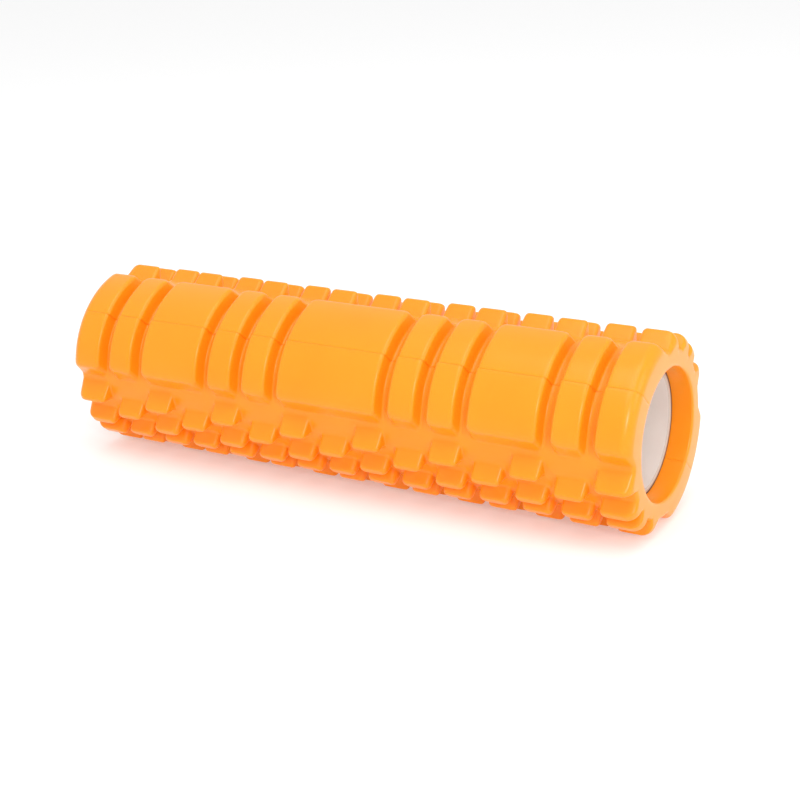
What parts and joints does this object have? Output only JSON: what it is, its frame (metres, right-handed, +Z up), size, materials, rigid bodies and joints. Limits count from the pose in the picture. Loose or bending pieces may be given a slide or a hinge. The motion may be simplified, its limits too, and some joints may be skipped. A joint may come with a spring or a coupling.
{
  "type": "foam roller",
  "caption": "Hollow massage roller: a textured foam sleeve of wide pads and small staggered nubs, glued round a rigid open tube.",
  "frame": {"origin": "centre of the roller: the middle of its length, on the axis of the tube", "axes": "+X along the roller's axis, +Z up as it lies at rest, and -Y towards the side that the front seam faces"},
  "size_m": [0.3, 0.0894, 0.0884],
  "materials": {
    "eva_foam": "satin",
    "core_plastic": "matt"
  },
  "bodies": {
    "root": {"foam_shell_upper": "eva_foam", "foam_shell_lower": "eva_foam", "core_tube": "core_plastic"}
  },
  "joints": []
}
